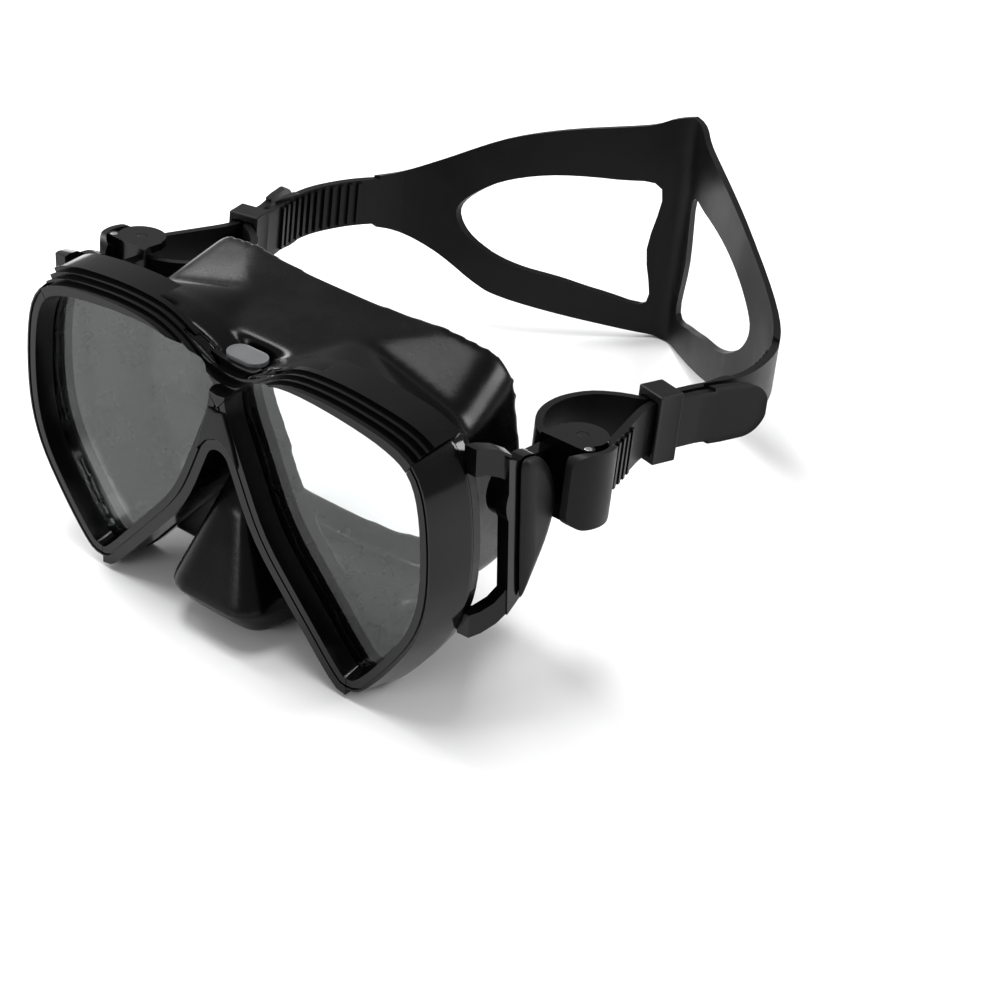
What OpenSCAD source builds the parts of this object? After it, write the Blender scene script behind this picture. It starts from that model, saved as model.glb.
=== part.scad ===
// Twin-lens diving mask, standing on its frame, its nose pocket and the rear edge of its strap.
// X runs across the face, the lenses look towards -Y, and Z is up. All sizes are in millimetres.

/* [Lenses and frame] */
// Backward lean of the lens plane, in degrees
face_rake = 2.9; // [0:0.1:6]
// Thickness of each glass lens
lens_t = 3; // [2:0.5:3.2]
// Width of the front retaining rim, seen from the front
rim_w = 4.6; // [3.5:0.1:5.5]
// How far the rims stand forward of the lens plane
rim_front = 4.6; // [3:0.1:6]
// Depth of the main frame behind the lens plane
frame_back = 12; // [11:0.5:13]
// Thickness of the side arms
arm_t = 3.6; // [3:0.1:4]

/* [Skirt] */
// Wall thickness of the silicone skirt
skirt_t = 2.4; // [1.5:0.1:2.5]
// Width of the sealing lip that lies on the face
lip_w = 9; // [6:0.5:11]
// Distance from the lens plane to the lip at the middle of the forehead
skirt_depth = 44; // [40:0.5:48]

/* [Buckles] */
// Height of the swivel pins above the floor
pivot_z = 59.5; // [57:0.5:62]
// Radius of the swivel pins
pivot_r = 2.5; // [2:0.1:3]
// Radius of the strap rollers
roller_r = 3; // [2.5:0.1:3.2]

/* [Strap] */
// Angle at which the strap slopes down towards its back, in degrees
strap_drop = 8.5; // [7:0.1:8.5]
// Thickness of the silicone strap
strap_t = 2.2; // [1.8:0.1:2.4]
// Width of the narrow part of the strap
strap_w = 15; // [13:0.5:15.5]
// Number of grip ribs on each side of the loop
rib_count = 12; // [6:1:14]
// Height of a grip rib above the strap
rib_h = 0.9; // [0.5:0.1:1]
// Distance from one rib to the next
rib_pitch = 3.3; // [2.5:0.1:3.4]

/* [Hidden] */
$fn = 48;

// The whole mask is shifted so that its origin is the middle of its footprint
centre_y = 100.06;
lift_z = 3.44;
// Swivel axis, measured from the foot of the lens plane
pivot_y = 29;

// A lens opening is a closed smooth curve through these points: x, z
EYE = [[4.2, 68.2], [6.6, 73.6], [14, 77.8], [25.5, 80.3], [43, 79.4], [58, 76.6], [65.2, 71.8],
    [68.4, 60], [68.9, 42], [65.8, 29], [58.6, 17], [50.4, 6.6], [46.9, 4.3], [43.6, 6.3],
    [31.6, 19.6], [18.8, 34.8], [10.8, 51.5]];
lens_lap = 2.2;
fit = 0.3;
lens_y = 0.8;
ring_y = 4.2;
band_in = 1.3;

// Cross-sections of the skirt, each the hull of circles x, z, radius, and their distance back
SKIRT_FRONT = [[27, 70, 9.5], [58, 66, 8.5], [52, 40, 17], [47, 9.5, 4]];
SKIRT_WAIST = [[20, 71.5, 10], [46, 61, 13], [46, 45, 15], [38, 20, 13]];
SKIRT_REAR = [[40, 71, 14], [42, 50, 15], [38, 28, 18], [20, 20, 13]];
waist_y = 28;
rear_y = 56;
face_r = 200;

// Strap, seen from above with the swivel axis at y = 0: from the middle of the back to the buckle
BACK_PATH = [[0, 177], [4, 175.9], [12, 169], [30, 154], [46, 142], [61, 132.5], [71, 124],
    [77.5, 114], [81, 104], [82.5, 93], [81, 82]];
LOOP_PATH = [[68.5, 53], [63, 48], [60, 41], [59.6, 34], [61.5, 27], [66, 20.5], [72, 16.8]];
TAIL_PATH = [[84.3, 25.5], [82.4, 33], [79.8, 42], [77.6, 50]];
TAB_PATH = [[84.5, 79], [88, 88], [89.6, 92.5]];
roller_at = [80.5, 19.6];
wrap_r = roller_r + 0.4 + strap_t / 2;
keeper_at = [76.5, 60];
keeper_turn = 15;
keeper_l = 8;
layer_gap = 3.6;
straight_front = 5;
straight_back = 12;
along = [sin(keeper_turn), cos(keeper_turn)];
across = [cos(keeper_turn), -sin(keeper_turn)];

// Places everything in the part's own frame
module placed() translate([0, -centre_y, lift_z]) children();

// The frame of the lens plane, leaning back by the rake
module face() placed() rotate([-face_rake, 0, 0]) children();

// The frame of the strap and buckles, with the swivel axis as its X axis
module swing() placed() translate([0, pivot_y, pivot_z]) rotate([-strap_drop, 0, 0]) children();

module both() {
    children();
    mirror([1, 0, 0]) children();
}

// A 2D outline in X and Z, given a thickness from y0 to y1
module slab(y0, y1) translate([0, y1, 0]) rotate([90, 0, 0]) linear_extrude(y1 - y0) children();

module dots(list, d) hull() for (c = list) translate([c[0], c[1]]) circle(c[2] + d);
module eye(d) offset(delta = d) polygon(closed(EYE, 4));
module two_eyes(d) offset(-4) offset(4) both() eye(d);

// ---- front shell, which is split into rims, nose bridge and brow ----

// The bevel that runs from the front of a rim in to its lens
module inner_bevel() hull() {
    slab(-rim_front - 0.1, -rim_front) eye(band_in);
    slab(0.4, 0.5) eye(0);
}

// A fine groove near the outer edge of the front
module front_groove() difference() {
    slab(-rim_front - 1, -rim_front + 0.6) eye(rim_w - 0.6);
    slab(-rim_front - 2, 0) eye(rim_w - 1.2);
}

module rim_wall() {
    difference() {
        hull() {
            slab(-rim_front, -rim_front + 0.2) eye(rim_w);
            slab(8, 9) eye(rim_w + 2.6);
        }
        inner_bevel();
        front_groove();
        slab(-8, 20) eye(0);
        slab(0.6, 20) eye(lens_lap + fit);
        slab(ring_y - 0.2, 20) eye(rim_w + 0.6);
    }
}

module rim_zone() polygon([[46.4, -12], [46.4, 9], [50, 40], [60, 66], [70.6, 84], [100, 84], [100, -12]]);

module rim(side) face() mirror([side < 0 ? 1 : 0, 0, 0]) intersection() {
    rim_wall();
    slab(-10, 20) rim_zone();
}

module rim_left() color("#101010") rim(-1);
module rim_right() color("#101010") rim(1);

NOSE_ZONE = [[4.4, 71.6], [12, 68], [30, 45], [46.2, 9], [46.2, -12], [10, -12]];

module nose_zone() polygon(concat([[0, 66.4]], NOSE_ZONE, [[0, 40]],
    [for (i = [len(NOSE_ZONE) - 1:-1:0]) [-NOSE_ZONE[i][0], NOSE_ZONE[i][1]]]));

module nose_bridge() color("#0c0c0c") face() difference() {
    intersection() {
        slab(-rim_front, 9) two_eyes(rim_w + 2);
        slab(-10, 20) nose_zone();
    }
    both() {
        slab(-8, 20) eye(0);
        slab(0.6, 20) eye(lens_lap + fit);
        inner_bevel();
        front_groove();
    }
    slab(ring_y - 0.2, 20) two_eyes(rim_w + 0.6);
    slab(-rim_front - 1, -rim_front + 1.4) clip_outline(fit);
}

module clip_outline(d) offset(d) both()
    polygon([[0, 57.5], [0, 65.5], [2.6, 66], [5.6, 58], [7.4, 51.5], [4, 55.6]]);

module bridge_clip() color("#181818") face()
    slab(-rim_front - 0.8, -rim_front + 1.2) clip_outline(0);

// The brow is a stack of terraces. Their upper edges go from the first line at the front to the second: x, z
BROW_FRONT = [[0, 70.5], [4, 71.3], [9.5, 75], [16, 79.4], [25, 82.6], [37, 83.3], [50, 82.2],
    [60, 80.3], [66, 77.4], [69.5, 73.5], [71, 67]];
BROW_REAR = [[0, 77], [5, 77.2], [11, 78.9], [18, 82.6], [26, 85.2], [38, 85.9], [51, 85],
    [62, 83.2], [69, 79.8], [73, 75], [74.5, 67]];
brow_steps = 4;
brow_step_y = 2.1;

module brow_terrace(i) let (t = i / (brow_steps - 1))
    slab(i == 0 ? -rim_front : -rim_front + 0.4 + i * brow_step_y, frame_back) both()
        polygon(concat(smooth(BROW_FRONT * (1 - t) + BROW_REAR * t, 3), [[71, 60], [0, 60]]));

module brow_cover() color("#0c0c0c") face() difference() {
    for (i = [0:brow_steps - 1]) brow_terrace(i);
    both() {
        inner_bevel();
        slab(-8, 20) eye(0);
        slab(0.6, 20) eye(lens_lap + fit);
        slab(ring_y - 0.2, 20) eye(rim_w + 0.6);
        slab(-20, 20) offset(0.2) rim_zone();
    }
    slab(-20, 20) offset(0.2) nose_zone();
    badge_seat() linear_extrude(4) badge_outline(fit);
}

// The badge lies in the middle of the brow
module badge_seat() translate([0, 7, 76.7]) children();
module badge_outline(d) dots([[-2.8, 0, 3.6], [2.8, 0, 3.6]], d);

module badge() color("#8c8c8c") face() badge_seat() linear_extrude(1.4) badge_outline(0);

module lens(side) face() mirror([side < 0 ? 1 : 0, 0, 0]) slab(lens_y, lens_y + lens_t) eye(lens_lap);
module lens_left() color("#d8e0e0", 0.35) lens(-1);
module lens_right() color("#d8e0e0", 0.35) lens(1);

// ---- main frame: the ring behind both lenses and the side arms ----

arm_x = 76.3;
root_y = 9.3;
post_y = 21;
flare = 20;
// Side view of the rear of an arm, which the side panel covers: a closed smooth curve, y and z
D_PANEL = [[24.9, 71.5], [30.5, 71.2], [35, 66.8], [37.8, 60.5], [38.6, 53.5], [36.8, 47],
    [33.6, 41], [30, 36], [27, 31.5], [24.9, 29], [24.4, 38], [24.4, 50], [24.5, 62]];
// Side views of its two beams, with the distance back from their root as first value
UPPER_BEAM = [[0, 79.6], [3, 79.4], [7.5, 78], [11.6, 75.4], [11.6, 67.4], [8.5, 69.6], [4.5, 71.4],
    [0, 71.8]];
LOWER_BEAM = [[0, 23], [5, 23.4], [9.5, 25], [13, 27.6], [13, 36.5], [11.3, 34], [8.5, 31.6],
    [4.5, 30.2], [0, 30]];

module arm_outline() union() {
    polygon(closed(D_PANEL, 3));
    polygon([[post_y, 74], [24.5, 72], [27, 71.4], [27, 29.5], [24.5, 28], [post_y, 26]]);
    translate([pivot_y, pivot_z]) circle(9);
}

// Turns an outline in Y and Z into a plate whose inner face is at x
module plate(x, t) translate([x, 0, 0]) rotate([90, 0, 90]) linear_extrude(t) children();

module arm() {
    difference() {
        plate(arm_x, arm_t) arm_outline();
        translate([0, pivot_y, pivot_z]) rotate([0, 90, 0]) cylinder(h = 200, r = pivot_r + 0.02);
    }
}

// The beams carry an arm from the ring, and lean with the lens plane
module beams() {
    intersection() {
        translate([arm_x - (post_y - root_y) * tan(flare) - 0.2, root_y, 0]) rotate([0, 0, -flare])
            plate(0, arm_t) union() {
                polygon(UPPER_BEAM);
                polygon(LOWER_BEAM);
            }
        translate([50, root_y, 10]) cube([50, 30, 80]);
    }
    translate([60, root_y, 24]) cube([13, frame_back - root_y, 6.5]);
}

// The ring stops where the brow takes over
module ring_outline(d) intersection() {
    two_eyes(d);
    offset(-0.4) offset(0.3) union() {
        nose_zone();
        both() rim_zone();
    }
}

module main_frame() color("#101010") {
    difference() {
        face() {
            slab(ring_y, frame_back) ring_outline(rim_w + 0.3);
            slab(root_y, frame_back) ring_outline(rim_w + 2.4);
            both() beams();
        }
        face() both() slab(-8, frame_back + 1) eye(lens_lap + 0.6);
        // Room for the nose pocket
        face() slab(ring_y - 1, frame_back + 1) both()
            polygon([[0, -9], [19, -9], [18, 9], [9.6, 31], [7.6, 38], [6.8, 44], [6.4, 47.5], [0, 49.5]]);
    }
    placed() both() arm();
}

// The panel is a low dome
module side_panel(side) placed() mirror([side < 0 ? 1 : 0, 0, 0]) hull() {
    plate(arm_x + arm_t + fit, 0.8) offset(delta = -0.4) polygon(closed(D_PANEL, 3));
    plate(arm_x + arm_t + fit, 1.7) offset(delta = -1.6) polygon(closed(D_PANEL, 3));
    plate(arm_x + arm_t + fit, 2.4) offset(delta = -3.8) polygon(closed(D_PANEL, 3));
}
module side_panel_left() color("#2a2a2a") side_panel(-1);
module side_panel_right() color("#2a2a2a") side_panel(1);

module pivot_pin(side) placed() mirror([side < 0 ? 1 : 0, 0, 0]) translate([0, pivot_y, pivot_z])
    rotate([0, 90, 0]) {
        translate([0, 0, 70.3]) cylinder(h = 1.8, r = pivot_r + 1.6);
        translate([0, 0, 72]) cylinder(h = arm_x + arm_t - 72, r = pivot_r);
    }
module pivot_pin_left() color("#303030") pivot_pin(-1);
module pivot_pin_right() color("#303030") pivot_pin(1);

// ---- silicone skirt with the nose pocket ----

module skirt_block(d, y_start) {
    both() hull() {
        slab(y_start, y_start + 0.3) eye(lens_lap - 0.15 + d);
        slab(waist_y, waist_y + 0.3) dots(SKIRT_WAIST, d);
    }
    hull() {
        slab(y_start, y_start + 0.3) both() dots(SKIRT_FRONT, d);
        slab(waist_y, waist_y + 0.3) both() dots(SKIRT_WAIST, d);
    }
    hull() {
        slab(waist_y, waist_y + 0.3) both() dots(SKIRT_WAIST, d);
        slab(rear_y - 0.3, rear_y) both() dots(SKIRT_REAR, d);
    }
}

// Everything in front of the wearer's face, brought forward by d
module before_face(d) translate([0, skirt_depth - d, 0]) difference() {
    translate([-90, -60, -20]) cube([180, 120, 130]);
    translate([0, face_r, -21]) cylinder(h = 132, r = face_r, $fn = 200);
}

// The nose pocket, which rests on the floor: height, then x, y and radius of its front and rear circles
NOSE = [[-3.4, 6.5, 6.5, 4, 7, 23, 5], [0.2, 8, 2.5, 6, 9, 25, 6.5], [9, 8.3, -2.5, 8.2, 10, 26, 7],
    [34, 2.5, 4.5, 4, 4, 27, 5],
        [50, 1, 20, 4.5, 2.5, 27, 4.5]];

module nose_section(i, d) let (n = NOSE[i]) translate([0, 0, n[0] - (i == 0 ? d : 0)])
    linear_extrude(0.4) dots([[n[1], n[2], n[3]], [-n[1], n[2], n[3]], [n[4], n[5], n[6]],
                              [-n[4], n[5], n[6]]], d);

module nose_block(d) for (i = [0:len(NOSE) - 2]) hull() {
    nose_section(i, d);
    nose_section(i + 1, d);
}

module skirt() color("#050505") difference() {
    union() {
        face() intersection() {
            skirt_block(0, frame_back + fit);
            before_face(0);
        }
        face() both() slab(ring_y - 0.2, frame_back + 1) eye(lens_lap + 0.2);
        placed() nose_block(0);
    }
    face() intersection() {
        skirt_block(-skirt_t, frame_back + fit + skirt_t);
        before_face(2.5);
    }
    face() slab(30, rear_y + 10) hull() both() dots(SKIRT_REAR, -lip_w);
    face() both() hull() {
        slab(0, frame_back + 0.5) eye(0.6);
        slab(frame_back + fit + skirt_t + 0.4, frame_back + 3.4) eye(-1);
    }
    placed() nose_block(-1.8);
}

// ---- buckles ----

module upright(x, y, z0, z1, r) translate([x, y, z0]) cylinder(h = z1 - z0, r = r);

cheek_z = 8.7;
cheek_t = 2.3;
lever_pin_at = [86.4, 14.2];
lever_pin_r = 1.1;

module cheek_outline() {
    translate(roller_at) circle(6.9);
    translate([73, 12.4]) square([9, 8]);
    hull() {
        translate(lever_pin_at) circle(1.75);
        translate([80, 15.6]) circle(3.2);
    }
}

module buckle(side) swing() mirror([side < 0 ? 1 : 0, 0, 0]) difference() {
    union() {
        for (z = [-cheek_z - cheek_t, cheek_z]) translate([0, 0, z]) linear_extrude(cheek_t)
            cheek_outline();
        // Front wall between the cheeks, and the ear that the swivel pin passes through
        translate([72.4, 12.4, -cheek_z - cheek_t]) cube([11.6, 1.6, 2 * (cheek_z + cheek_t)]);
        translate([72.4, 0, -8]) cube([3.5, 13, 16]);
        translate([72.4, 0, 0]) rotate([0, 90, 0]) cylinder(h = 3.5, r = 8);
    }
    translate([60, 0, 0]) rotate([0, 90, 0]) cylinder(h = 20, r = pivot_r + 0.06);
    translate([roller_at[0], roller_at[1], -20]) cylinder(h = 40, r = 1.55);
    translate([lever_pin_at[0], lever_pin_at[1], -20]) cylinder(h = 40, r = lever_pin_r + 0.02);
}
module buckle_left() color("#141414") buckle(-1);
module buckle_right() color("#141414") buckle(1);

module roller(side) swing() mirror([side < 0 ? 1 : 0, 0, 0]) {
    upright(roller_at[0], roller_at[1], -8.4, 8.4, roller_r);
    upright(roller_at[0], roller_at[1], -cheek_z - cheek_t, cheek_z + cheek_t, 1.5);
}
module roller_left() color("#202020") roller(-1);
module roller_right() color("#202020") roller(1);

// The lever is a curved hood over the buckle, with a web to its pin and a tooth that holds the ribs
hood_at = [80.5, 17.5];
hood_r = 10.5;

module hood_outline(front) difference() {
    translate(hood_at) circle(hood_r, $fn = 96);
    translate(hood_at) circle(hood_r - 1.8, $fn = 96);
    translate([60, -20]) square([24, 80]);
    translate([60, -20]) square([60, 20 + front]);
    translate([60, 24.6]) square([60, 20]);
}

module lever_web() {
    translate(lever_pin_at) circle(2.3);
    hood_outline(12.6);
    polygon([[88, 24.5], [87, 22.9], [86, 23.5], [87.1, 24.6]]);
}

module release_lever(side) swing() mirror([side < 0 ? 1 : 0, 0, 0]) difference() {
    union() {
        translate([0, 0, -cheek_z + 0.4]) linear_extrude(2 * cheek_z - 0.8) lever_web();
        intersection() {
            translate([0, 0, -11]) linear_extrude(22) hood_outline(8.6);
            // Its side view has round corners
            plate(80, 20) offset(4) offset(-4) translate([8.6, -10.8]) square([16, 21.6]);
        }
    }
    translate([lever_pin_at[0], lever_pin_at[1], -20]) cylinder(h = 40, r = lever_pin_r + 0.06);
    upright(lever_pin_at[0], lever_pin_at[1], -3, 3, 1.95);
}
module release_lever_left() color("#333333") release_lever(-1);
module release_lever_right() color("#333333") release_lever(1);

module lever_pin(side) swing() mirror([side < 0 ? 1 : 0, 0, 0])
    upright(lever_pin_at[0], lever_pin_at[1], -cheek_z - cheek_t, cheek_z + cheek_t, lever_pin_r);
module lever_pin_left() color("#b0b0b0") lever_pin(-1);
module lever_pin_right() color("#b0b0b0") lever_pin(1);

module lever_spring(side) swing() mirror([side < 0 ? 1 : 0, 0, 0])
    for (i = [-4:4]) translate([lever_pin_at[0], lever_pin_at[1], i * 0.56])
        rotate_extrude() translate([1.5, 0]) circle(0.3);
module lever_spring_left() color("#b0b0b0") lever_spring(-1);
module lever_spring_right() color("#b0b0b0") lever_spring(1);

// ---- strap and keepers ----

function arc(c, r, a0, a1, n) = [for (i = [0:n]) let (a = a0 + (a1 - a0) * i / n) c + r * [cos(a),
    sin(a)]];
function curve_at(p, i, t) = let (a = p[max(i - 1, 0)], b = p[i], c = p[i + 1], d = p[min(i + 2,
    len(p) - 1)])
    0.5 * (2 * b + (c - a) * t + (2 * a - 5 * b + 4 * c - d) * t * t + (3 * b - a - 3 * c + d)
        * t * t * t);
function smooth(p, n) = [for (i = [0:len(p) - 2]) for (k = [0:n - 1]) curve_at(p, i, k / n), p[len(p)
    - 1]];
function closed(p, n) = let (m = len(p)) [for (i = [0:m - 1]) for (k = [0:n - 1])
    curve_at([p[(i + m - 1) % m], p[i], p[(i + 1) % m], p[(i + 2) % m]], 1, k / n)];
function unit(v) = v / norm(v);
function heading(p, i) = unit(p[min(i + 1, len(p) - 1)] - p[max(i - 1, 0)]);
function side_line(p, d) = [for (i = [0:len(p) - 1]) let (h = heading(p, i)) p[i] + d * [h[1], -h[0]]];
function ribbon(p, t) = let (s = side_line(p, -t / 2))
    concat(side_line(p, t / 2), [for (i = [len(s) - 1:-1:0]) s[i]]);
// The point and the heading at distance d along a curve
function walk(p, d, i = 0) = let (l = norm(p[i + 1] - p[i]))
    d <= l || i >= len(p) - 2 ? [p[i] + (p[i + 1] - p[i]) * d / l, unit(p[i + 1] - p[i])] : walk(p,
        d - l, i + 1);

inner_mid = keeper_at - across * layer_gap / 2;
outer_mid = keeper_at + across * layer_gap / 2;
back_curve = smooth(concat(BACK_PATH, [inner_mid + along * straight_back]), 3);
tail_curve = smooth(concat(TAIL_PATH, [outer_mid - along * straight_front]), 3);
strap_points = concat(
    back_curve,
    smooth(concat([inner_mid - along * straight_front], LOOP_PATH,
                  [roller_at + wrap_r * [cos(250), sin(250)]]), 3),
    arc(roller_at, wrap_r, 262, 370, 9),
    tail_curve,
    smooth(concat([outer_mid + along * straight_back], TAB_PATH), 3));

// Back of the strap seen from behind: upper and lower edge of the band, and its opening, x and z
BAND_TOP = [[0, 38.5], [6, 36.6], [12, 33.8], [31, 29.8], [46, 24.5], [62, 15], [72, 9.5],
    [80, 7.6]];
BAND_LOW = [[80, -7.6], [72, -9.5], [61, -16], [50, -24.5], [43, -28.2], [28, -32], [10, -35.5],
    [0, -37]];
OPENING = [[6, 13.5], [17, 15.4], [32, 14.8], [44, 11.2], [52.5, 5.2], [56.5, -1], [54, -8],
    [47, -14], [39, -17.6], [29, -20], [18, -23.4], [6, -25.4], [7.6, -7]];

module strap_back_outline() difference() {
    both() polygon(concat(smooth(BAND_TOP, 4), smooth(BAND_LOW, 4)));
    both() polygon(closed(OPENING, 4));
}

// Side view of the tab end: wider than the strap, with a round tip
module tab_outline() hull() {
    translate([75, -8.4]) square([4, 16.8]);
    translate([84.5, 0]) circle(8);
}

// A row of ribs from distance start along a curve, on the side that faces the wearer when worn
module rib_row(curve, start, count) for (i = [0:count - 1]) {
    w = walk(curve, start + i * rib_pitch);
    translate([w[0][0], w[0][1], -strap_w / 2 + 0.8]) rotate([0, 0, atan2(w[1][1], w[1][0])])
        translate([-0.7, -strap_t / 2 - rib_h, 0]) cube([1.4, rib_h + 0.3, strap_w - 1.6]);
}

module strap_half() {
    low = strap_w / 2;
    intersection() {
        translate([0, 0, -45]) linear_extrude(90) polygon(ribbon(strap_points, strap_t));
        union() {
            translate([-1, 0, -low]) cube([100, 72, 2 * low]);
            translate([-1, 71, -low]) cube([85.2, 47, 2 * low]);
            translate([-1, 200, 0]) rotate([90, 0, 0]) linear_extrude(83) translate([1, 0])
                strap_back_outline();
            plate(80, 20) tab_outline();
        }
    }
    rib_row(back_curve, 104, rib_count);
    rib_row(tail_curve, 1.5, 5);
}

module strap() color("#080808") swing() both() strap_half();

module keeper(side) swing() mirror([side < 0 ? 1 : 0, 0, 0]) translate([keeper_at[0], keeper_at[1], 0])
    rotate([0, 0, -keeper_turn]) difference() {
        translate([-4.9, -keeper_l / 2, -10.2]) cube([9.8, keeper_l, 20.4]);
        translate([-3.3, -keeper_l, -strap_w / 2 - 0.4]) cube([6.6, 2 * keeper_l, strap_w + 0.8]);
    }
module keeper_left() color("#1c1c1c") keeper(-1);
module keeper_right() color("#1c1c1c") keeper(1);

main_frame();
rim_left();
rim_right();
nose_bridge();
bridge_clip();
brow_cover();
badge();
lens_left();
lens_right();
skirt();
side_panel_left();
side_panel_right();
pivot_pin_left();
pivot_pin_right();
buckle_left();
buckle_right();
roller_left();
roller_right();
release_lever_left();
release_lever_right();
lever_pin_left();
lever_pin_right();
lever_spring_left();
lever_spring_right();
strap();
keeper_left();
keeper_right();
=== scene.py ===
"""A twin-lens diving mask: its visible pieces, their finishes, the light and the camera."""

import logging
import math
from dataclasses import dataclass, field
from enum import Enum

import bmesh
import bpy
from mathutils import Matrix, Vector

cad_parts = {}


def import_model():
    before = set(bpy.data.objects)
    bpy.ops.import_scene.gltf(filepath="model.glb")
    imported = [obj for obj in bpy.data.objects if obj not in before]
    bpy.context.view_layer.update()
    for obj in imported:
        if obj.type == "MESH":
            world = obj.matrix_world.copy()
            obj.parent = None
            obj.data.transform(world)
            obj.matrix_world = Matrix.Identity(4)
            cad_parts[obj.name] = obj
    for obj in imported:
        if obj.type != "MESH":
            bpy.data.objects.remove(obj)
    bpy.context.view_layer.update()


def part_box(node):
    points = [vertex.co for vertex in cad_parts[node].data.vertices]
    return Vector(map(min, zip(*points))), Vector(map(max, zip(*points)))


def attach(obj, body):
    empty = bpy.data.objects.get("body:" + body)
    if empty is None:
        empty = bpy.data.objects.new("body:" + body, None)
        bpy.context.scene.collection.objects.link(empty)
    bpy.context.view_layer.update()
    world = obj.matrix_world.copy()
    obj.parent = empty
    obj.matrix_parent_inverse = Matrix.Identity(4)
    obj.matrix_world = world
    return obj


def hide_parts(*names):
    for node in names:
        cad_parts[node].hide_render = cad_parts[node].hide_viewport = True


log = logging.getLogger("diving_mask")
Colour = tuple[float, float, float]

WELD = 2e-6  # corners closer than this are one corner, in metres
SLIVER = 1e-6  # faces narrower than this are dropped, in metres
FLAT = 0.6  # faces that meet within this many degrees are one face
SHARP_OVER_CREASE = 12  # shading breaks at edges this many degrees sharper than the rounded ones
DUST = (0.2, 0.2, 0.2)
RUBBED = (0.03, 0.03, 0.031)
LINT = (0.16, 0.16, 0.165)


class Side(Enum):
    """The wearer's side of the mask that a piece belongs to, with the sign of its X."""

    LEFT = -1
    RIGHT = 1

    @property
    def word(self) -> str:
        """The side's name as it stands in node and body names."""
        return self.name.lower()


# ---- shader graph ----


@dataclass(frozen=True)
class Sock:
    """One output of a shader node that can be used in arithmetic.

    Args:
        graph: the graph that new nodes are added to.
        out: the node socket that this stands for.
    """

    graph: "Graph"
    out: bpy.types.NodeSocket

    def _math(self, operation: str, first: object, second: object) -> "Sock":
        """Adds one Math node.

        Args:
            operation: the Math node's operation.
            first: a Sock or a number.
            second: a Sock or a number.
        Returns:
            The node's value.
        """
        return self.graph.node("ShaderNodeMath", {"operation": operation}, {0: first, 1: second})

    def __add__(self, other: object) -> "Sock":
        """self + other"""
        return self._math("ADD", self, other)

    def __radd__(self, other: object) -> "Sock":
        """other + self"""
        return self._math("ADD", other, self)

    def __sub__(self, other: object) -> "Sock":
        """self - other"""
        return self._math("SUBTRACT", self, other)

    def __rsub__(self, other: object) -> "Sock":
        """other - self"""
        return self._math("SUBTRACT", other, self)

    def __mul__(self, other: object) -> "Sock":
        """self * other"""
        return self._math("MULTIPLY", self, other)

    def __rmul__(self, other: object) -> "Sock":
        """other * self"""
        return self._math("MULTIPLY", other, self)

    def clipped(self, low: float, high: float) -> "Sock":
        """The value stretched so that low becomes 0 and high becomes 1, and held between them."""
        values = {0: self, 1: low, 2: high, 3: 0.0, 4: 1.0}
        return self.graph.node("ShaderNodeMapRange", {"clamp": True}, values)


class Graph:
    """The node tree of one material, with a Principled shader that is ready to be fed.

    Args:
        name: the material's name.
    """

    def __init__(self, name: str) -> None:
        """Makes the material and clears its tree."""
        self.material = bpy.data.materials.new(name)
        self.material.use_nodes = True
        self.tree = self.material.node_tree
        self.tree.nodes.clear()
        self.surface = self.tree.nodes.new("ShaderNodeBsdfPrincipled")
        end = self.tree.nodes.new("ShaderNodeOutputMaterial")
        self.tree.links.new(self.surface.outputs[0], end.inputs["Surface"])

    def node(self, kind: str, settings: dict[str, object], values: dict[object, object],
             out: object = 0) -> Sock:
        """Adds any node.

        Args:
            kind: the node's type.
            settings: attributes that are set before its sockets.
            values: a Sock or a constant for each named or numbered input.
            out: the name or number of the output that is wanted.
        Returns:
            That output.
        """
        made = self.tree.nodes.new(kind)
        for key, value in settings.items():
            setattr(made, key, value)
        for key, value in values.items():
            self._feed(made.inputs[key], value)
        return Sock(self, made.outputs[out])

    def _feed(self, socket: bpy.types.NodeSocket, value: object) -> None:
        """Links a Sock to an input, or sets the input to a constant."""
        if isinstance(value, Sock):
            self.tree.links.new(value.out, socket)
        else:
            socket.default_value = value

    def feed(self, values: dict[str, object]) -> None:
        """Feeds or sets the Principled shader's named inputs."""
        for key, value in values.items():
            self._feed(self.surface.inputs[key], value)

    def place(self, stretch: Colour = (1, 1, 1)) -> Sock:
        """The position on the piece, in metres, stretched along each axis."""
        here = self.node("ShaderNodeTexCoord", {}, {}, "Object")
        return self.node("ShaderNodeMapping", {}, {"Vector": here, "Scale": stretch})

    def noise(self, where: Sock, scale: float, detail: float = 2.0, rough: float = 0.5) -> Sock:
        """A noise between about 0.25 and 0.75, with scale in cycles per metre."""
        values = {"Vector": where, "Scale": scale, "Detail": detail, "Roughness": rough}
        return self.node("ShaderNodeTexNoise", {}, values)

    def blend(self, share: object, first: object, second: object) -> Sock:
        """A colour that goes from first to second as share goes from 0 to 1."""
        return self.node("ShaderNodeMix", {"data_type": "RGBA"}, {0: share, 6: first, 7: second}, 2)

    def bump(self, height: Sock, depth: float, strength: float = 1.0, under: Sock | None = None) -> Sock:
        """A surface relief of the given depth in metres, on top of another one."""
        values: dict[object, object] = {"Height": height, "Distance": depth, "Strength": strength}
        if under is not None:
            values["Normal"] = under
        return self.node("ShaderNodeBump", {}, values)

    def worn_edge(self) -> Sock:
        """1 on the rounded edges of a piece and 0 elsewhere."""
        return self.node("ShaderNodeAttribute", {"attribute_name": "rounded_edge"}, {}, "Fac")


def rgba(colour: Colour, gain: float = 1.0) -> tuple[float, float, float, float]:
    """A colour with full alpha, made brighter by gain."""
    return (min(1, colour[0] * gain), min(1, colour[1] * gain), min(1, colour[2] * gain), 1.0)


# ---- finishes ----


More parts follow.
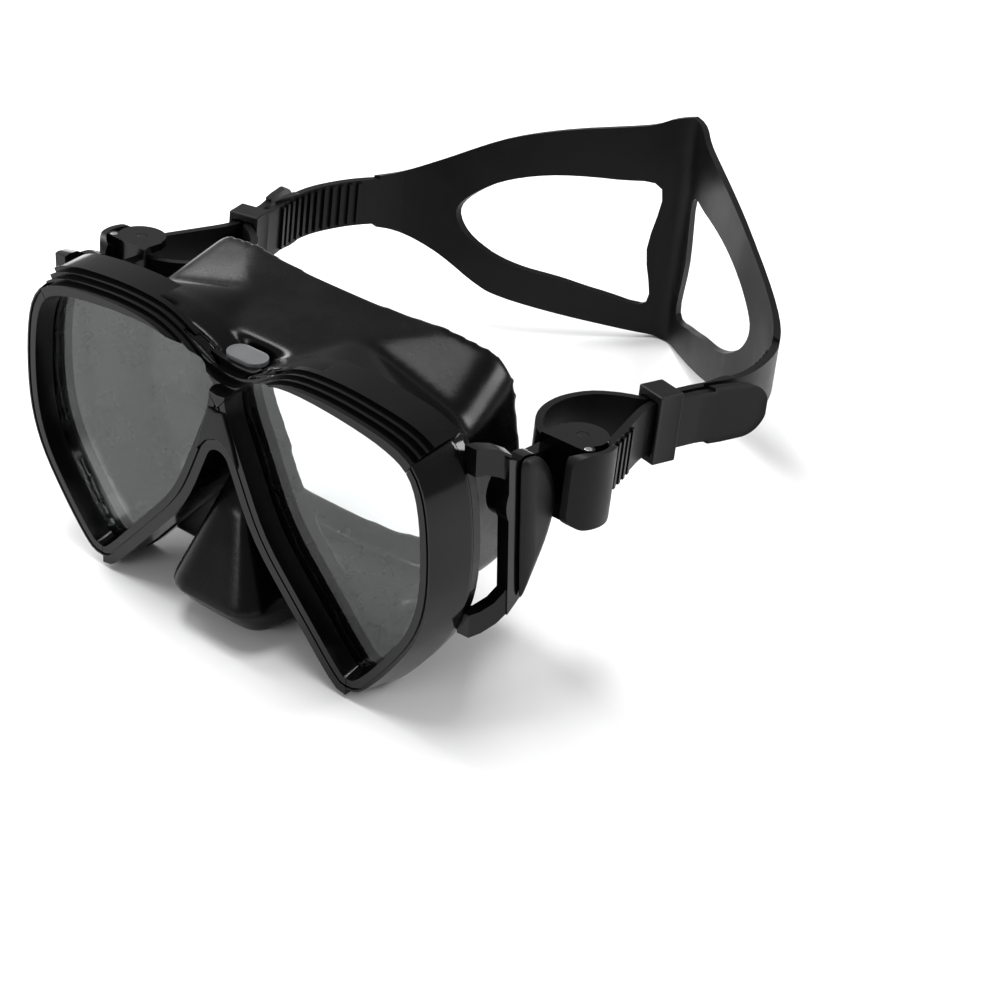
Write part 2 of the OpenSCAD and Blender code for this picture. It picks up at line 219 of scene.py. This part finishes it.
@dataclass(frozen=True)
class MouldedPlastic:
    """Injection-moulded plastic: a little flow mottle, fine grain, dust and rubbed edges.

    Args:
        name: the material's name.
        colour: its colour.
        roughness: how dull it is, from 0 to 1.
        grain: depth of the moulded grain, in metres.
        coat: strength of the glossy top layer.
    """

    name: str
    colour: Colour
    roughness: float
    grain: float
    coat: float

    def material(self) -> bpy.types.Material:
        """Makes the material."""
        g = Graph(self.name)
        here = g.place()
        flow = g.noise(g.place((1, 1, 0.3)), 38, 3)
        dust = g.noise(here, 2600, 2, 0.7).clipped(0.66, 0.78)
        haze = g.noise(here, 110, 4, 0.6).clipped(0.35, 0.75)
        edge = g.worn_edge() * g.noise(here, 420, 3, 0.65).clipped(0.3, 0.7)
        tint = g.blend(flow.clipped(0.3, 0.7), rgba(self.colour, 0.8), rgba(self.colour, 1.25))
        tint = g.blend(edge * 0.4, tint, rgba(RUBBED))
        tint = g.blend(dust * 0.12, tint, rgba(DUST))
        g.feed({
            "Base Color": tint,
            "Roughness": self.roughness + (haze - 0.5) * 0.1 + dust * 0.12 + edge * 0.06,
            "Coat Weight": self.coat,
            "Coat Roughness": 0.1,
            "IOR": 1.46,
            "Specular IOR Level": 0.34,
            "Normal": g.bump(g.noise(here, 3400, 2, 0.6), self.grain, 0.8, g.bump(flow, 0.00012, 0.35)),
        })
        return g.material


@dataclass(frozen=True)
class Silicone:
    """Cast silicone: slow waves from the mould, a skin of fine lint and a soft sheen.

    Args:
        name: the material's name.
        colour: its colour.
        roughness: how dull it is, from 0 to 1.
        wave: depth of the slow waves, in metres.
        lint: how much fine lint shows, from 0 to 1.
    """

    name: str
    colour: Colour
    roughness: float
    wave: float
    lint: float

    def material(self) -> bpy.types.Material:
        """Makes the material."""
        g = Graph(self.name)
        here = g.place()
        slow = g.noise(here, 26, 2)
        cloud = g.noise(here, 85, 4, 0.6).clipped(0.3, 0.75)
        fibre = g.noise(g.place((1, 1, 5)), 900, 3, 0.7).clipped(0.64, 0.76)
        tint = g.blend(cloud * 0.6, rgba(self.colour), rgba(self.colour, 1.7))
        tint = g.blend(fibre * self.lint, tint, rgba(LINT))
        g.feed({
            "Base Color": tint,
            "Roughness": self.roughness + (cloud - 0.5) * 0.09 + fibre * 0.1,
            "IOR": 1.41,
            "Specular IOR Level": 0.36,
            "Normal": g.bump(g.noise(here, 2900, 2, 0.6), 0.00002, 0.7, g.bump(slow, self.wave, 0.5)),
        })
        return g.material


@dataclass(frozen=True)
class LensGlass:
    """Clear tempered glass with a faint film of fingermarks.

    Args:
        name: the material's name.
        colour: the glass's own tint.
    """

    name: str
    colour: Colour

    def material(self) -> bpy.types.Material:
        """Makes the material."""
        g = Graph(self.name)
        smear = g.noise(g.place((1, 1, 0.5)), 60, 4, 0.7).clipped(0.5, 0.85)
        g.feed({
            "Base Color": g.blend(smear * 0.4, rgba(self.colour), rgba(self.colour, 0.96)),
            "Roughness": 0.012 + smear * 0.05,
            "IOR": 1.46,
            "Transmission Weight": 1.0,
        })
        return g.material


@dataclass(frozen=True)
class DrawnSteel:
    """Stainless pin and spring wire, with fine drawing lines round it.

    Args:
        name: the material's name.
        colour: the metal's colour.
    """

    name: str
    colour: Colour

    def material(self) -> bpy.types.Material:
        """Makes the material."""
        g = Graph(self.name)
        lines = g.noise(g.place((1, 1, 14)), 900, 3, 0.6)
        g.feed({
            "Base Color": g.blend(lines.clipped(0.3, 0.7), rgba(self.colour, 0.8), rgba(self.colour)),
            "Metallic": 1.0,
            "Roughness": 0.24 + lines * 0.18,
            "Normal": g.bump(lines, 0.00002, 0.6),
        })
        return g.material


@dataclass(frozen=True)
class PaleFloor:
    """A plain pale studio floor.

    Args:
        name: the material's name.
        colour: its colour.
    """

    name: str
    colour: Colour

    def material(self) -> bpy.types.Material:
        """Makes the material."""
        g = Graph(self.name)
        tone = g.noise(g.place(), 3, 2)
        tint = g.blend(tone * 0.1, rgba(self.colour), rgba(self.colour, 0.97))
        g.feed({"Base Color": tint, "Roughness": 0.6})
        return g.material


GLOSS = MouldedPlastic("gloss_black_plastic", (0.0032, 0.0032, 0.0035), 0.16, 0.000004, 0.15)
SATIN = MouldedPlastic("satin_black_plastic", (0.0085, 0.0086, 0.009), 0.45, 0.00004, 0.0)
INLAY = MouldedPlastic("grey_inlay", (0.11, 0.112, 0.116), 0.42, 0.00003, 0.0)
SKIRT = Silicone("skirt_silicone", (0.0022, 0.0022, 0.0024), 0.27, 0.0004, 0.04)
BAND = Silicone("strap_silicone", (0.0055, 0.0055, 0.0058), 0.4, 0.0003, 0.1)
GLASS = LensGlass("lens_glass", (0.93, 0.965, 0.955))
STEEL = DrawnSteel("stainless", (0.62, 0.62, 0.63))
FLOOR = PaleFloor("pale_floor", (0.86, 0.86, 0.865))


class Finishes:
    """Every finish, made once and shared by the pieces."""

    def __init__(self) -> None:
        """Starts with nothing made."""
        self._made: dict[str, bpy.types.Material] = {}

    def of(self, finish: object) -> bpy.types.Material:
        """The material of a finish.

        Args:
            finish: one of the finish dataclasses.
        Returns:
            Its material, made on first use.
        """
        if finish.name not in self._made:
            self._made[finish.name] = finish.material()
        return self._made[finish.name]


# ---- pieces ----


@dataclass
class Moulding:
    """One visible piece that takes its shape from a node of the frame.

    Args:
        node: the node that it stands for.
        body: the moving body that it rides on.
        slot: a name for its material slot; not used.
        finish: its finish.
        round_m: radius of its rounded edges, in metres.
        crease: edges sharper than this many degrees are rounded.
        steps: segments across a rounded edge.
    """

    node: str
    body: str
    slot: str
    finish: object
    round_m: float = 0.0003
    crease: float = 28.0
    steps: int = 2

    def blank(self) -> bmesh.types.BMesh:
        """A clean copy of the node's solid, with its loose triangles joined into whole faces."""
        bm = bmesh.new()
        bm.from_mesh(bpy.data.objects[self.node].data)
        bmesh.ops.remove_doubles(bm, verts=bm.verts, dist=WELD)
        bmesh.ops.dissolve_degenerate(bm, dist=SLIVER, edges=bm.edges)
        bmesh.ops.dissolve_limit(bm, angle_limit=math.radians(FLAT), verts=bm.verts, edges=bm.edges)
        return bm

    def round_edges(self, bm: bmesh.types.BMesh) -> None:
        """Rounds the sharp edges and marks the rounded faces, so that wear can follow them."""
        mark = bm.faces.layers.float.new("rounded_edge")
        least = math.radians(self.crease)
        sharp = [e for e in bm.edges if len(e.link_faces) == 2 and e.calc_face_angle(0) > least]
        if self.round_m > 0 and sharp:
            made = bmesh.ops.bevel(bm, geom=sharp, offset=self.round_m, offset_type="OFFSET", affect="EDGES",
                                   segments=self.steps, profile=0.5, material=-1, clamp_overlap=True)
            for face in made["faces"]:
                face[mark] = 1.0

    def refine(self, bm: bmesh.types.BMesh) -> None:
        """A place for a piece's own details, worked before its edges are rounded."""

    def build(self, finishes: Finishes) -> bpy.types.Object:
        """Makes the piece, dresses it and puts it on its body.

        Args:
            finishes: where its material comes from.
        Returns:
            The finished object.
        """
        bm = self.blank()
        self.refine(bm)
        self.round_edges(bm)
        return self.settle(bm, finishes)

    def settle(self, bm: bmesh.types.BMesh, finishes: Finishes) -> bpy.types.Object:
        """Turns a finished bmesh into the object that stands for the node."""
        mesh = bpy.data.meshes.new(self.node + "_skin")
        for face in bm.faces:
            face.smooth = True
        bm.to_mesh(mesh)
        bm.free()
        mesh.set_sharp_from_angle(angle=math.radians(self.crease + SHARP_OVER_CREASE))
        mesh.materials.clear()
        mesh.materials.append(finishes.of(self.finish))
        piece = bpy.data.objects.new(self.node + "_skin", mesh)
        bpy.context.scene.collection.objects.link(piece)
        tidy = piece.modifiers.new("even_shading", "WEIGHTED_NORMAL")
        tidy.keep_sharp = True
        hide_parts(self.node)
        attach(piece, self.body)
        log.info("%s: %d faces", piece.name, len(mesh.polygons))
        return piece


@dataclass
class SkirtMoulding(Moulding):
    """The silicone skirt, whose flat cast faces are melted into one soft skin.

    Args:
        voxel: size of the cells that the skin is made from, in metres.
        melt: how many times the skin is smoothed.
    """

    voxel: float = 0.0009
    melt: int = 24

    def build(self, finishes: Finishes) -> bpy.types.Object:
        """Makes the skirt's skin from the node, and puts it on its body.

        Args:
            finishes: where its material comes from.
        Returns:
            The finished object.
        """
        bm = self.blank()
        cast = bpy.data.meshes.new("cast")
        bm.to_mesh(cast)
        bm.free()
        holder = bpy.data.objects.new("cast", cast)
        bpy.context.scene.collection.objects.link(holder)
        cells = holder.modifiers.new("cells", "REMESH")
        cells.mode = "VOXEL"
        cells.voxel_size = self.voxel
        soft = holder.modifiers.new("soft", "SMOOTH")
        soft.factor = 0.5
        soft.iterations = self.melt
        graph = bpy.context.evaluated_depsgraph_get()
        skin = bpy.data.meshes.new_from_object(holder.evaluated_get(graph))
        bpy.data.objects.remove(holder)
        out = bmesh.new()
        out.from_mesh(skin)
        bmesh.ops.recalc_face_normals(out, faces=out.faces)
        return self.settle(out, finishes)


@dataclass
class StrapMoulding(Moulding):
    """The strap, whose two tabs have a raised border on their outer side.

    Args:
        tab_start: distance of the tabs' sunk part behind the swivel axis, in metres.
        outward: the way that the right tab's outer side looks.
        reach: least distance of that side from the middle of the mask, measured that way.
        border: width of the raised border, in metres.
        sink: depth of the sunk part, in metres.
    """

    tab_start: float = 0.074
    outward: Colour = (0.93, -0.36, 0)
    reach: float = 0.0762
    border: float = 0.0016
    sink: float = 0.0005

    def refine(self, bm: bmesh.types.BMesh) -> None:
        """Sinks the middle of each tab's outer side."""
        low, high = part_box("pivot_pin_right")
        axis_y = (low[1] + high[1]) / 2
        for side in Side:
            look = Vector((self.outward[0] * side.value, *self.outward[1:]))
            patch = []
            for face in bm.faces:
                c = face.calc_center_median()
                on_tab = c.dot(look) > self.reach and c.y > axis_y + self.tab_start
                if on_tab and face.normal.dot(look) > 0.85:
                    patch.append(face)
            log.info("%s %s: %d faces of the tab sunk", self.node, side.word, len(patch))
            if patch:
                bmesh.ops.inset_region(bm, faces=patch, thickness=self.border, depth=-self.sink,
                                       use_even_offset=True, use_boundary=True)


@dataclass
class FramedMoulding(Moulding):
    """A piece whose broad faces are sunk a little inside a raised border.

    Args:
        border: width of the border, in metres.
        sink: depth of the sunk part, in metres.
        least: the smallest face that is sunk, in square metres.
        facing: the direction that the sunk faces look in, either way.
        match: the least cosine between a face's normal and that direction.
    """

    border: float = 0.0012
    sink: float = 0.0003
    least: float = 0.00003
    facing: Colour = (0, 0, 1)
    match: float = 0.9

    def refine(self, bm: bmesh.types.BMesh) -> None:
        """Sinks each broad face that looks the right way."""
        look = Vector(self.facing).normalized()
        broad = [f for f in bm.faces
                 if f.calc_area() > self.least and abs(f.normal.dot(look)) > self.match]
        if broad:
            bmesh.ops.inset_individual(bm, faces=broad, thickness=self.border, depth=-self.sink,
                                       use_even_offset=True)


@dataclass
class FrontShell:
    """The main frame, rims, nose bridge, brow and their small parts.

    Args:
        round_m: radius of the frame's rounded edges, in metres.
        small_m: radius on the small parts, in metres.
        panel_m: radius on the side panels, in metres.
        badge_m: radius on the badge, in metres.
    """

    round_m: float = 0.00045
    small_m: float = 0.0003
    panel_m: float = 0.0006
    badge_m: float = 0.00015

    def build(self, finishes: Finishes) -> None:
        """Builds every piece of the front shell."""
        for node in ("main_frame", "rim_left", "rim_right", "nose_bridge", "brow_cover"):
            Moulding(node, "mask", "gloss_black", GLOSS, self.round_m).build(finishes)
        Moulding("bridge_clip", "mask", "satin_black", SATIN, self.small_m).build(finishes)
        FramedMoulding("badge", "mask", "grey_badge", INLAY, self.badge_m, border=0.0007).build(finishes)
        for side in Side:
            w = side.word
            Moulding("side_panel_" + w, "mask", "satin_black", SATIN, self.panel_m, steps=3).build(finishes)
            Moulding("pivot_pin_" + w, "mask", "satin_black", SATIN, self.small_m).build(finishes)


@dataclass
class Eyepieces:
    """The two lenses and the skirt that seals them to the face.

    Args:
        arris: width of the ground edge round each lens, in metres.
    """

    arris: float = 0.0004

    def build(self, finishes: Finishes) -> None:
        """Builds the lenses and the skirt."""
        for side in Side:
            Moulding("lens_" + side.word, "mask", "lens_glass", GLASS, self.arris, steps=1).build(finishes)
        SkirtMoulding("skirt", "mask", "silicone_black", SKIRT).build(finishes)


@dataclass
class BuckleSet:
    """One swivel buckle with its roller, lever, pin and spring.

    Args:
        side: the side that it is on.
        round_m: radius of the rounded edges of the buckle and its lever, in metres.
        small_m: radius on the roller and the pin, in metres.
    """

    side: Side
    round_m: float = 0.0004
    small_m: float = 0.0002

    def build(self, finishes: Finishes) -> None:
        """Builds the buckle's pieces."""
        w = self.side.word
        Moulding("buckle_" + w, "buckle_" + w, "gloss_black", GLOSS, self.round_m).build(finishes)
        Moulding("roller_" + w, "roller_" + w, "satin_black", SATIN, self.small_m).build(finishes)
        Moulding("release_lever_" + w, "lever_" + w, "satin_black", SATIN, self.round_m,
                 steps=3).build(finishes)
        Moulding("lever_pin_" + w, "buckle_" + w, "steel", STEEL, self.small_m).build(finishes)
        Moulding("lever_spring_" + w, "buckle_" + w, "steel", STEEL, 0.0).build(finishes)


@dataclass
class StrapSet:
    """The strap and its two sliding keepers.

    Args:
        round_m: radius of the strap's rounded edges, in metres.
        keeper_m: radius of the keepers' rounded edges, in metres.
    """

    round_m: float = 0.0003
    keeper_m: float = 0.0005

    def build(self, finishes: Finishes) -> None:
        """Builds the strap and keepers."""
        StrapMoulding("strap", "strap", "silicone_strap", BAND, self.round_m, crease=32).build(finishes)
        for side in Side:
            w = "keeper_" + side.word
            FramedMoulding(w, w, "satin_black", SATIN, self.keeper_m, steps=3, border=0.0016, sink=0.0005,
                           least=0.0001, facing=(1, -0.27 * side.value, 0)).build(finishes)


# ---- stage ----


@dataclass
class Softbox:
    """One square studio light that looks at a point.

    Args:
        name: its name.
        at: where it stands, in metres.
        aim: the point that it looks at.
        size: its width and height, in metres.
        power: its power in watts.
    """

    name: str
    at: Colour
    aim: Colour
    size: tuple[float, float]
    power: float

    def build(self) -> None:
        """Makes the light."""
        lamp = bpy.data.lights.new(self.name, "AREA")
        lamp.shape = "RECTANGLE"
        lamp.size, lamp.size_y = self.size
        lamp.energy = self.power
        holder = bpy.data.objects.new(self.name, lamp)
        bpy.context.scene.collection.objects.link(holder)
        holder.location = self.at
        holder.rotation_euler = (Vector(self.aim) - Vector(self.at)).to_track_quat("-Z", "Y").to_euler()


@dataclass
class Studio:
    """The floor, the soft light and the camera.

    Args:
        eye: where the camera stands, in metres.
        lens: the camera's focal length, in millimetres on a 36 mm sensor.
        heading: the camera's turn about Z, in degrees.
        dip: how far it looks down, in degrees.
        roll: its roll, in degrees.
        lean: the backward lean of the lens plane that those angles are measured in.
        lights: the softboxes.
    """

    eye: Colour = (0.4150, -0.49576, 0.43424)
    lens: float = 93.6
    heading: float = 37.855
    dip: float = 32.325
    roll: float = 2.998
    lean: float = 2.9
    lights: list[Softbox] = field(default_factory=lambda: [
        Softbox("key", (-0.95, 0.1, 0.75), (0, 0, 0.03), (0.4, 0.8), 10.5),
        Softbox("overhead", (-0.15, -0.1, 1.6), (0, 0, 0.02), (0.75, 0.5), 12.5),
        Softbox("rim_light", (0.9, 0.75, 0.7), (0, 0, 0.04), (0.35, 0.6), 7),
        Softbox("front", (-0.2, -1.35, 0.55), (0, 0, 0.04), (0.8, 0.25), 4.5),
    ])

    def camera(self) -> None:
        """Sets up the scene's camera."""
        a, e, r, t = (math.radians(v) for v in (self.heading, self.dip, self.roll, self.lean))
        ahead = Vector((-math.sin(a) * math.cos(e), math.cos(a) * math.cos(e), -math.sin(e)))
        right = Vector((math.cos(a), math.sin(a), 0))
        up = right.cross(ahead)
        right, up = math.cos(r) * right + math.sin(r) * up, math.cos(r) * up - math.sin(r) * right
        turn = Matrix.Rotation(-t, 3, "X")
        axes = [turn @ v for v in (right, up, -ahead)]
        data = bpy.data.cameras.new("view")
        data.lens = self.lens
        data.sensor_width = 36
        data.clip_start, data.clip_end = 0.01, 20
        holder = bpy.data.objects.new("view", data)
        bpy.context.scene.collection.objects.link(holder)
        matrix = Matrix.Identity(4)
        for column, axis in enumerate(axes):
            for row in range(3):
                matrix[row][column] = axis[row]
        matrix.translation = Vector(self.eye)
        holder.matrix_world = matrix
        bpy.context.scene.camera = holder

    def floor(self, finishes: Finishes) -> None:
        """Lays the floor at the foot of the mask."""
        bm = bmesh.new()
        bmesh.ops.create_grid(bm, x_segments=2, y_segments=2, size=6)
        bmesh.ops.translate(bm, verts=bm.verts, vec=(0, 0, -0.00005))
        mesh = bpy.data.meshes.new("floor")
        bm.to_mesh(mesh)
        bm.free()
        mesh.materials.append(finishes.of(FLOOR))
        floor = bpy.data.objects.new("floor", mesh)
        bpy.context.scene.collection.objects.link(floor)

    def air(self) -> None:
        """Sets the soft white light that comes from all round."""
        world = bpy.data.worlds.new("air")
        world.use_nodes = True
        back = world.node_tree.nodes["Background"]
        back.inputs["Color"].default_value = (1, 1, 1, 1)
        back.inputs["Strength"].default_value = 0.36
        bpy.context.scene.world = world
        look = bpy.context.scene.view_settings
        look.view_transform = "Standard"
        look.look = "Medium High Contrast"

    def build(self, finishes: Finishes) -> None:
        """Sets up floor, light and camera."""
        self.floor(finishes)
        self.air()
        self.camera()
        for light in self.lights:
            light.build()


def main() -> None:
    """Builds the mask's sub-assemblies in order, then the studio round them."""
    logging.basicConfig(level=logging.INFO, format="%(name)s: %(message)s")
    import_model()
    finishes = Finishes()
    FrontShell().build(finishes)
    Eyepieces().build(finishes)
    for side in Side:
        BuckleSet(side).build(finishes)
    StrapSet().build(finishes)
    Studio().build(finishes)


if __name__ == "__main__":
    main()
